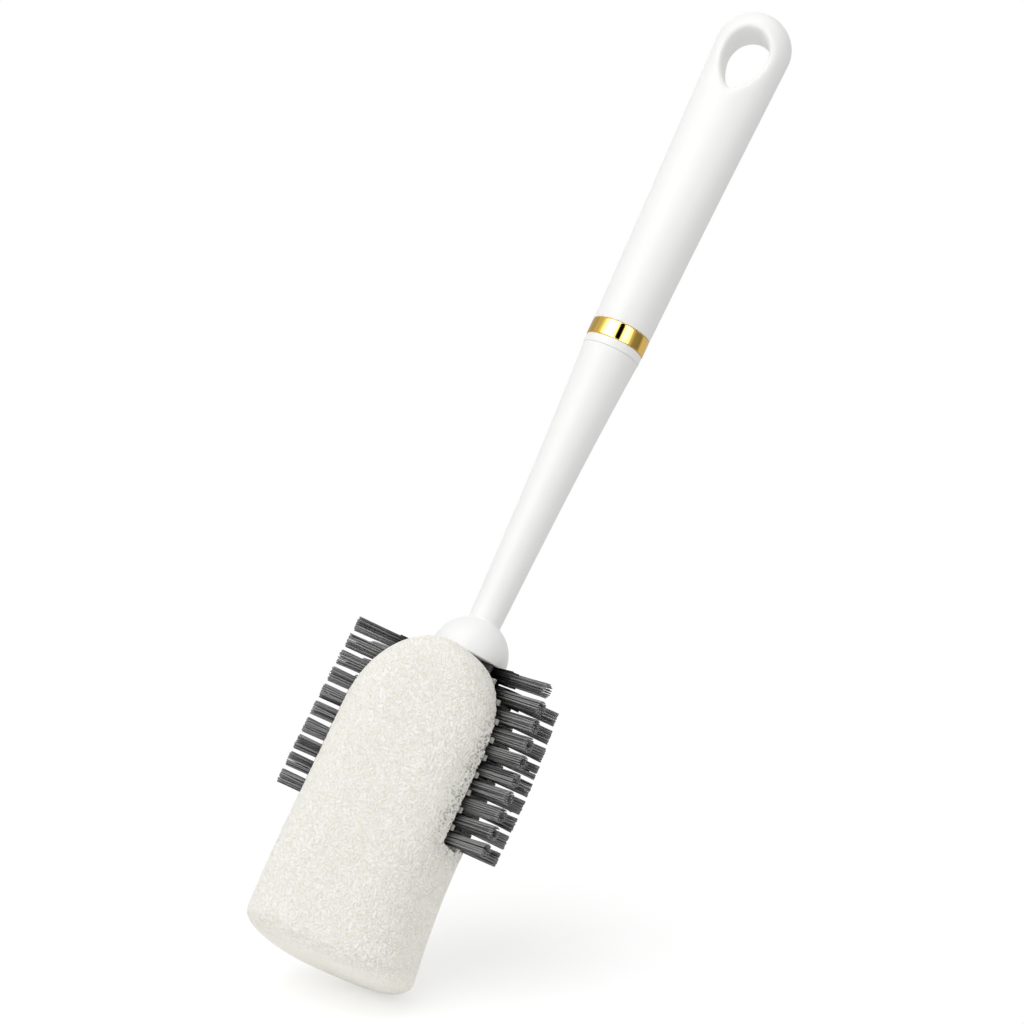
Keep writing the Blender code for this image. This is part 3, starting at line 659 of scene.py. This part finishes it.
def foam_levels():
    round_steps, side_steps, arch_steps = 14, 26, 34
    shoulder = FOAM_HEIGHT - ARCH_HEIGHT
    quarter = math.pi / 2 / round_steps
    low = [END_ROUNDING_HEIGHT * (1 - math.cos(quarter * i)) for i in range(round_steps)]
    run = shoulder - END_ROUNDING_HEIGHT
    side = [END_ROUNDING_HEIGHT + run * i / side_steps for i in range(side_steps + 1)]
    turn = math.asin(ARCH_CROWN) / arch_steps
    arch = [
        shoulder + ARCH_HEIGHT * math.sin(turn * i) / ARCH_CROWN for i in range(1, arch_steps + 1)]
    return low + side + arch


def slot_half_opening(x):
    """Half the slot's opening: a pocket round the rails, then a wedge that clears the combs."""
    pocket = -RAIL[0].y + SLOT_CLEARANCE
    return pocket + max(x - RAIL[1].x, 0.0) * math.tan(TUFT_LEAN)


def wedge(side, depth, floor):
    """One quarter of the slot's mouth, from the rail's pocket out, down to its own floor."""
    inner, outer = RAIL[1].x - WEDGE_LAP, FOAM_WIDTH / 2 + WEDGE_OVERSHOOT
    made = block(
        "wedge", (inner, -WEDGE_MIDDLE_LAP, floor), (outer, 1.0, FOAM_HEIGHT + CUT_OVERSHOOT))
    for vertex in made.data.vertices:
        if vertex.co.y > 0:
            vertex.co.y = slot_half_opening(vertex.co.x / MM) * MM
        vertex.co.x *= side
        vertex.co.y *= depth
    if side * depth < 0:
        made.data.flip_normals()
    return made


def make_foam(look):
    rings = [(z, *foam_half_sizes(z), foam_middle(z)) for z in foam_levels()]
    foam = draw_rings("foam_head", rounded_outline(FOAM_SEGMENTS, FOAM_SQUARENESS), rings)
    top = FOAM_HEIGHT + CUT_OVERSHOOT
    rail_half = RAIL[1].y + SLOT_CLEARANCE
    rail_out = RAIL[1].x + SLOT_CLEARANCE
    cut(foam, block(
        "web", (-rail_out, -WEB_HALF_WIDTH, SLOT_FLOOR), (rail_out, WEB_HALF_WIDTH, top)))
    for side in (1, -1):
        near, far = sorted((side * (RAIL[0].x - SLOT_CLEARANCE), side * rail_out))
        cut(foam, block("pocket", (near, -rail_half, SLOT_FLOOR), (far, rail_half, top)))
    for side_name, side in (("right", 1), ("left", -1)):
        for row, depth in (("front", -1), ("rear", 1)):
            names = [n for n in frame["nodes"] if n.startswith(f"tuft_{side_name}_{row}")]
            floor = min(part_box(n)[0].z for n in names) / MM - MOUTH_FLOOR_CLEARANCE
            cut(foam, wedge(side, depth, floor))
    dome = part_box("dome_collar")
    seat = dome[1].x / MM + DOME_SEAT_CLEARANCE
    cut(foam, draw_rings("dome_seat", rounded_outline(96, 2.0), [
        (dome[0].z / MM - DOME_SEAT_DEPTH, seat, seat, 0.0), (top, seat, seat, 0.0)]))
    apply_modifier(foam, "Even mesh", "REMESH", mode="VOXEL", voxel_size=FOAM_GRAIN * MM)
    apply_modifier(foam, "Soft edges", "SMOOTH", factor=0.5, iterations=6)
    emboss_foam(foam)
    select_only(foam)
    bpy.ops.object.shade_smooth()
    finish_piece(foam, "sponge", [look], ["sponge_head"])
    return foam


def emboss_foam(foam):
    """Presses the cells into the foam's surface with the field that also colours them."""
    group = bpy.data.node_groups.new("foam_relief", "GeometryNodeTree")
    for way in ("INPUT", "OUTPUT"):
        group.interface.new_socket("Geometry", in_out=way, socket_type="NodeSocketGeometry")
    entry = add_node(group, "NodeGroupInput")
    place = add_node(group, "GeometryNodeInputPosition").outputs["Position"]
    normal = add_node(group, "GeometryNodeInputNormal").outputs["Normal"]
    sunk = combine(group, "SUBTRACT", foam_height(group, place), 1.0)
    pitted = combine(group, "MULTIPLY", open_pores(group, place), -PORE_DEPTH * MM)
    depth = combine(group, "MULTIPLY_ADD", sunk, FOAM_RELIEF * MM, pitted)
    shift = add_node(group, "ShaderNodeVectorMath", {0: normal, "Scale": depth}, operation="SCALE")
    moved = add_node(group, "GeometryNodeSetPosition", {
        "Geometry": entry.outputs[0], "Offset": shift.outputs[0]})
    add_node(group, "NodeGroupOutput", {0: moved.outputs[0]})
    apply_modifier(foam, "Cells", "NODES", node_group=group)


# Bristles

def bundle_places():
    """Centres of a tuft's filaments in a unit disc, ring by ring."""
    places = [(0.0, 0.0)]
    for ring in range(1, FILAMENT_RINGS + 1):
        for i in range(6 * ring):
            angle = 2 * math.pi * (i + 0.5 * (ring % 2)) / (6 * ring)
            reach = ring / FILAMENT_RINGS
            places.append((reach * math.cos(angle), reach * math.sin(angle)))
    return places


def model_bundle(seed, looks):
    """One tuft of unit length along +X: parallel rods, cut across and then fanned out."""
    chance = random.Random(seed)
    places = bundle_places()
    full = len(places)
    for i in range(SHORT_FILAMENTS):
        angle = 2 * math.pi * (i + chance.random()) / SHORT_FILAMENTS
        reach = chance.uniform(*SHORT_RADII)
        places.append((reach * math.cos(angle), reach * math.sin(angle)))
    deselect_all()
    bpy.ops.mesh.primitive_cylinder_add(
        vertices=FILAMENT_SIDES, radius=FILAMENT_DIAMETER / 2, depth=1.0, location=(0, 0, 0))
    bundle = bpy.context.object
    bpy.ops.object.mode_set(mode="EDIT")
    for y, z in places[1:]:
        bpy.ops.mesh.primitive_cylinder_add(
            vertices=FILAMENT_SIDES, radius=FILAMENT_DIAMETER / 2, depth=1.0,
            location=(y * BUNDLE_SPACING, z * BUNDLE_SPACING, 0))
    for i in range(FILAMENT_CUTS):
        bpy.ops.mesh.select_all(action="SELECT")
        level = -0.5 + (i + 1) / (FILAMENT_CUTS + 1)
        bpy.ops.mesh.bisect(plane_co=(0, 0, level), plane_no=(0, 0, 1))
    bpy.ops.object.mode_set(mode="OBJECT")

    points = read_points(bundle.data)
    centres = np.array(places)
    flat = points[:, :2]
    apart = ((flat[:, None] - centres[None] * BUNDLE_SPACING) ** 2).sum(axis=2)
    owner = np.argmin(apart, axis=1)
    section = flat - centres[owner] * BUNDLE_SPACING
    along = points[:, 2] + 0.5
    widths = [
        STRAY_DRIFT if chance.random() < STRAY_SHARE else FILAMENT_DRIFT for _ in places]
    drift = np.array([[chance.gauss(0, width), chance.gauss(0, width)] for width in widths])
    drift[full:] *= SHORT_DRIFT_SHARE
    bow = np.array([[chance.gauss(0, FILAMENT_BOW), chance.gauss(0, FILAMENT_BOW)] for _ in places])
    spread = TUFT_ROOT_RADIUS + (TUFT_TIP_RADIUS - TUFT_ROOT_RADIUS) * along[:, None]
    offset = centres[owner] * spread + section
    offset += drift[owner] * along[:, None] ** 2 + bow[owner] * np.sin(np.pi * along)[:, None]
    heart = np.hypot(*centres.T) < HEART_RADIUS
    short = np.array([chance.uniform(0.0, CUT_UNEVENNESS) for _ in places]) + HEART_RECESS * heart
    short[full:] = [chance.uniform(*SHORT_CUT_OFF) for _ in places[full:]]
    reach = along * (1 - short[owner])
    write_points(bundle.data, np.column_stack((reach, offset)))
    greys = np.array([
        chance.uniform(*(DARK_GREYS if chance.random() < DARK_SHARE else PALE_GREYS))
        for _ in places])
    # Painted shade: the short filaments take the darkest grey, standing in for shade between the
    # tufts' roots.
    greys[full:] = 0.0
    for name, values in (("filament_grey", greys[owner]), ("filament_share", reach)):
        attribute = bundle.data.attributes.new(name, "FLOAT", "POINT")
        attribute.data.foreach_set("value", values)
    bundle.data.materials.clear()
    for look in looks:
        bundle.data.materials.append(look)
    return bundle


def make_bristles(looks):
    patterns = [model_bundle(seed, looks) for seed in range(TUFT_PATTERNS)]
    names = sorted(n for n in frame["nodes"] if n.startswith("tuft_"))
    for count, node in enumerate(names):
        plant_tuft(node, patterns[count % TUFT_PATTERNS], count)
    for pattern in patterns:
        bpy.data.objects.remove(pattern, do_unlink=True)


def plant_tuft(node, pattern, count):
    """A copy of a bundle, turned about itself, leaned and set on the face of its rail."""
    side = 1 if "_right_" in node else -1
    depth = -1 if "_front_" in node else 1
    low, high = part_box(node)
    height = (low.z + high.z) / 2
    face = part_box("bristle_rail_right" if side > 0 else "bristle_rail_left")
    face_x = max(abs(face[0].x), abs(face[1].x))
    reach = max(abs(low.x), abs(high.x)) - face_x
    length = reach / math.cos(TUFT_LEAN)
    piece = pattern.copy()
    piece.data = pattern.data.copy()
    piece.name = node.replace("tuft", "bristles")
    bpy.context.scene.collection.objects.link(piece)
    spin = Matrix.Rotation(count * TUFT_SPIN, 4, "X")
    stretch = Matrix.Diagonal((length + TUFT_SINK * MM, MM, MM, 1.0))
    sink = Matrix.Translation((-TUFT_SINK * MM, 0, 0))
    lean = Matrix.Rotation(depth * side * TUFT_LEAN, 4, "Z")
    flip = Matrix.Rotation(0.0 if side > 0 else math.pi, 4, "Z")
    root = Matrix.Translation((side * face_x, depth * TUFT_ROOT_SPREAD * MM, height))
    piece.data.transform(root @ flip @ lean @ sink @ stretch @ spin)
    add_backing(piece, side, depth, face_x, height)
    shade(piece, 50.0)
    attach(piece, "shaft")
    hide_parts(node)


def add_backing(piece, side, depth, face_x, height):
    """The slice of strip that the tuft is set in, bevelled, seated in its rail."""
    near, far = sorted((side * face_x / MM, side * (face_x / MM - BACKING_DEPTH)))
    middle = depth * BACKING_MIDDLE
    slice_block = block(
        "slice", (near, middle - BACKING_WIDTH / 2, height / MM - BACKING_HEIGHT / 2),
        (far, middle + BACKING_WIDTH / 2, height / MM + BACKING_HEIGHT / 2))
    apply_modifier(slice_block, "Edges", "BEVEL", width=BACKING_EDGE * MM, segments=2)
    for look in piece.data.materials:
        slice_block.data.materials.append(look)
    for face in slice_block.data.polygons:
        face.material_index = 1
    deselect_all()
    slice_block.select_set(True)
    piece.select_set(True)
    bpy.context.view_layer.objects.active = piece
    bpy.ops.object.join()


# Dome, neck, collar and ring

def make_dome(look):
    low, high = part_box("dome_collar")
    radius = high.x / MM
    rim, top = low.z / MM, high.z / MM
    neck = NECK_FOOT_DIAMETER / 2
    centre = rim + DOME_RIM_HEIGHT
    profile = [(neck - DOME_LIP_INSET, top + FILLET + DOME_LIP_RISE)]
    start = math.acos((neck + FILLET) / (radius + FILLET))
    middle_r, middle_z = neck + FILLET, centre + (radius + FILLET) * math.sin(start)
    fillet_steps, crown_steps = 8, 32
    for i in range(fillet_steps + 1):
        turn = math.pi + start * i / fillet_steps
        profile.append((middle_r + FILLET * math.cos(turn), middle_z + FILLET * math.sin(turn)))
    for i in range(1, crown_steps + 1):
        turn = start * (1 - i / crown_steps)
        profile.append((radius * math.cos(turn), centre + radius * math.sin(turn)))
    pocket = rim + DOME_POCKET_DEPTH
    profile += [
        (radius, rim), (DOME_POCKET_RADIUS, rim), (DOME_POCKET_RADIUS, pocket),
        (DOME_BORE_RADIUS, pocket), (DOME_BORE_RADIUS, top + DOME_BORE_RISE)]
    dome = turn_profile("dome_cap", profile, edge=DOME_EDGE, bored=True)
    finish_piece(dome, "shaft", [look], ["dome_collar"])


def neck_radius(z, foot, top_z, top_radius):
    share = (z - foot) / (top_z - foot)
    swell = NECK_TAPER_SHARE * share + (1 - NECK_TAPER_SHARE) * share ** NECK_FLARE_POWER
    return NECK_FOOT_DIAMETER / 2 + (top_radius - NECK_FOOT_DIAMETER / 2) * swell


def make_neck(look):
    low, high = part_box("neck_shaft")
    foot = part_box("dome_collar")[1].z / MM + NECK_FOOT_GAP
    top_radius = high.x / MM
    seam = frame_seam()
    spigot_top = high.z / MM
    profile = [(SPIGOT_RADIUS, spigot_top), (SPIGOT_RADIUS, seam)]
    steps = 72
    for i in range(steps + 1):
        z = foot + (seam - foot) * (1 - i / steps)
        profile.append((neck_radius(z, foot, seam, top_radius), z))
    profile += [(TENON_RADIUS, foot), (TENON_RADIUS, low.z / MM)]
    neck = turn_profile("neck_taper", profile, edge=SEAM_EDGE)
    finish_piece(neck, "shaft", [look], ["neck_shaft"])


def frame_seam():
    """Height of the seam where the grip unscrews, in millimetres."""
    for joint in frame["joints"]:
        if joint["name"] == "handle_unscrew":
            return joint["pos_m"][2] / MM
    raise ValueError("the frame has no handle_unscrew joint")


def make_collar(look):
    low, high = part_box("ring_seat")
    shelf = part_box("gold_ring")[0].z / MM - RING_GAP
    lip, top = high.x / MM, high.z / MM
    foot = low.z / MM - COLLAR_DROP
    profile = [
        (SLEEVE_RADIUS, top), (SLEEVE_RADIUS, shelf), (lip, shelf), (lip, foot),
        (THREAD_BORE, foot), (THREAD_BORE, top)]
    collar = turn_profile("seam_collar", profile, edge=SEAM_EDGE, bored=True)
    finish_piece(collar, "handle", [look], ["ring_seat"])


def make_ring(look):
    low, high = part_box("gold_ring")
    outer = high.x / MM
    inner = outer - RING_WALL
    top, foot = high.z / MM, low.z / MM
    profile = [(outer, top), (outer, foot), (inner, foot), (inner, top)]
    ring = turn_profile("gold_band", profile, edge=RING_EDGE, bored=True)
    finish_piece(ring, "ring", [look], ["gold_ring"])


# Grip

def grip_levels(foot, top):
    """Heights of the grip's sections; the last one stops just short of its rounded tip."""
    side_steps, end_steps = 60, 40
    loop_radius = GRIP_LOOP_WIDTH / 2
    shoulder = top - loop_radius
    levels = [foot + (shoulder - foot) * i / side_steps for i in range(side_steps + 1)]
    for i in range(1, end_steps + 1):
        levels.append(shoulder + loop_radius * math.sin(math.pi / 2 * i / (end_steps + 0.6)))
    return levels


def grip_half_sizes(z, foot, top):
    """Round at the ring, a flat oval at the loop, closed by a rounded end."""
    loop_radius = GRIP_LOOP_WIDTH / 2
    straight = top - foot - loop_radius
    share = min((z - foot) / straight, 1.0)
    start = GRIP_FOOT_DIAMETER / 2
    half_width = start + (loop_radius - start) * share ** GRIP_SWELL_POWER
    half_depth = start + (GRIP_LOOP_DEPTH / 2 - start) * share
    rise = max((z - foot - straight) / loop_radius, 0.0)
    half_width *= math.sqrt(max(1 - rise ** 2, 0.0))
    half_depth *= max(1 - rise ** GRIP_END_POWER, 0.0) ** (1 / GRIP_END_POWER)
    return half_width, half_depth


def grip_body(foot, top):
    """The whole grip without its hole; its section grows a little squarer towards the loop."""
    rings = [(z, *grip_half_sizes(z, foot, top), 0.0) for z in grip_levels(foot, top)]
    body = draw_rings("grip_body", rounded_outline(GRIP_SEGMENTS, 2.0), rings)
    points = read_points(body.data)
    for index, (x, y, z) in enumerate(points):
        half_width, half_depth = grip_half_sizes(z / MM, foot, top)
        share = min((z / MM - foot) / (top - foot), 1.0)
        power = 2.0 + (GRIP_SQUARENESS - 2.0) * share
        angle = math.atan2(y / half_depth, x / half_width)
        c, s = math.cos(angle), math.sin(angle)
        points[index, 0] = half_width * math.copysign(abs(c) ** (2 / power), c) * MM
        points[index, 1] = half_depth * math.copysign(abs(s) ** (2 / power), s) * MM
    write_points(body.data, points)
    return body


def teardrop(top):
    """Outline of the hanging hole: wide and round above, drawn to a blunt point below."""
    middle = top - HOLE_TOP_WALL - HOLE_LENGTH / 2
    widest = math.acos(-HOLE_POINTEDNESS / (2 + HOLE_POINTEDNESS))
    swell = math.sin(widest) * math.sin(widest / 2) ** HOLE_POINTEDNESS
    points = []
    for i in range(HOLE_SEGMENTS):
        turn = 2 * math.pi * (i + 0.5) / HOLE_SEGMENTS
        side = math.sin(turn) * abs(math.sin(turn / 2)) ** HOLE_POINTEDNESS / swell
        points.append((HOLE_WIDTH / 2 * side, middle - HOLE_LENGTH / 2 * math.cos(turn)))
    return points


def hole_plug(top):
    """The hanging hole as a solid: its outline drawn through the grip from front to rear."""
    reach = GRIP_LOOP_DEPTH
    outline = teardrop(top)
    plug = draw_rings("hole_plug", outline, [(-reach, 1.0, 1.0, 0.0), (reach, 1.0, 1.0, 0.0)])
    points = read_points(plug.data)
    write_points(plug.data, points[:, (0, 2, 1)])
    plug.data.flip_normals()
    return plug


def signed_distance(tree, point):
    near, normal, _, distance = tree.find_nearest(point)
    inside = (point - near).dot(normal) < 0
    return (-distance if inside else distance), normal


def round_rims(piece, body_tree, plug_tree, blend):
    """Moves each point onto the grip's surface less the hole, blended smoothly where they meet."""
    for vertex in piece.data.vertices:
        point = vertex.co.copy()
        for _ in range(3):
            outer, outer_normal = signed_distance(body_tree, point)
            hole, hole_normal = signed_distance(plug_tree, point)
            hole = -hole
            mix = min(max(0.5 + 0.5 * (outer - hole) / blend, 0.0), 1.0)
            value = hole * (1 - mix) + outer * mix + blend * mix * (1 - mix)
            slope = outer_normal * mix - hole_normal * (1 - mix)
            if slope.length > 0.2:
                point -= slope * (value / slope.length_squared)
        vertex.co = point


def make_grip(look):
    low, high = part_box("grip_front_shell")
    foot, top = low.z / MM - RING_GAP, high.z / MM
    body = grip_body(foot, top)
    grip = body.copy()
    grip.data = body.data.copy()
    bpy.context.scene.collection.objects.link(grip)
    plug = hole_plug(top)
    trees = [
        BVHTree.FromPolygons([v.co for v in o.data.vertices], [p.vertices for p in o.data.polygons])
        for o in (body, plug)]
    bpy.data.objects.remove(body, do_unlink=True)
    cut(grip, plug)
    apply_modifier(grip, "Even mesh", "REMESH", mode="VOXEL", voxel_size=GRIP_GRAIN * MM)
    apply_modifier(grip, "Relax", "SMOOTH", factor=0.5, iterations=4)
    round_rims(grip, *trees, HOLE_RIM_BLEND * MM)
    cavity = draw_rings("cavity", rounded_outline(64, 2.0), [
        (foot - CUT_OVERSHOOT, GRIP_CAVITY_RADIUS, GRIP_CAVITY_RADIUS, 0.0),
        (foot + GRIP_CAVITY_LENGTH, GRIP_CAVITY_RADIUS, GRIP_CAVITY_RADIUS, 0.0)])
    cut(grip, cavity)
    for name, node, depth in (
        ("grip_front", "grip_front_shell", -1), ("grip_rear", "grip_rear_shell", 1),
    ):
        half = grip.copy()
        half.data = grip.data.copy()
        half.name = name
        bpy.context.scene.collection.objects.link(half)
        select_only(half)
        bpy.ops.object.mode_set(mode="EDIT")
        bpy.ops.mesh.select_all(action="SELECT")
        bpy.ops.mesh.bisect(
            plane_co=(0, depth * PARTING_GAP / 2 * MM, 0), plane_no=(0, depth, 0),
            use_fill=True, clear_inner=True)
        bpy.ops.object.mode_set(mode="OBJECT")
        half.data.transform(Matrix.Rotation(GRIP_TURN, 4, "Z"))
        shade(half, 50.0)
        finish_piece(half, "handle", [look], [node])
    bpy.data.objects.remove(grip, do_unlink=True)


# Solids whose shape stays

def dress_solids(looks):
    for node, look in looks.items():
        solid = frame["nodes"][node]
        for slot in solid.material_slots:
            slot.material = look


white = moulded_polypropylene("satin_polypropylene", "F6F6F5", "F3F3F2", 0.50, 0.12)
inner_white = moulded_polypropylene("core_polypropylene", "E4E4E1", "DADAD6", 0.42, 0.4)
comb_grey = moulded_polypropylene("comb_polypropylene", "C9C8C2", "B4B3AD", 0.45, 0.4)
strip_black = moulded_polypropylene("strip_polypropylene", "0E0E0F", "09090A", 0.68, 0.5)
gold = gold_plate()
nylon = nylon_filament()
foam_look = cut_foam()
steel = pin_steel()

place_camera()
light_studio()
foam_head = make_foam(foam_look)
make_floor(foam_head)
make_bristles([nylon, strip_black])
make_dome(white)
make_neck(white)
make_collar(white)
make_ring(gold)
make_grip(white)
dress_solids({
    "core_spine": inner_white, "core_pin": steel, "grip_insert": inner_white,
    "bristle_rail_right": strip_black, "bristle_rail_left": strip_black,
    "comb_right_front": comb_grey, "comb_right_rear": comb_grey,
    "comb_left_front": comb_grey, "comb_left_rear": comb_grey,
})
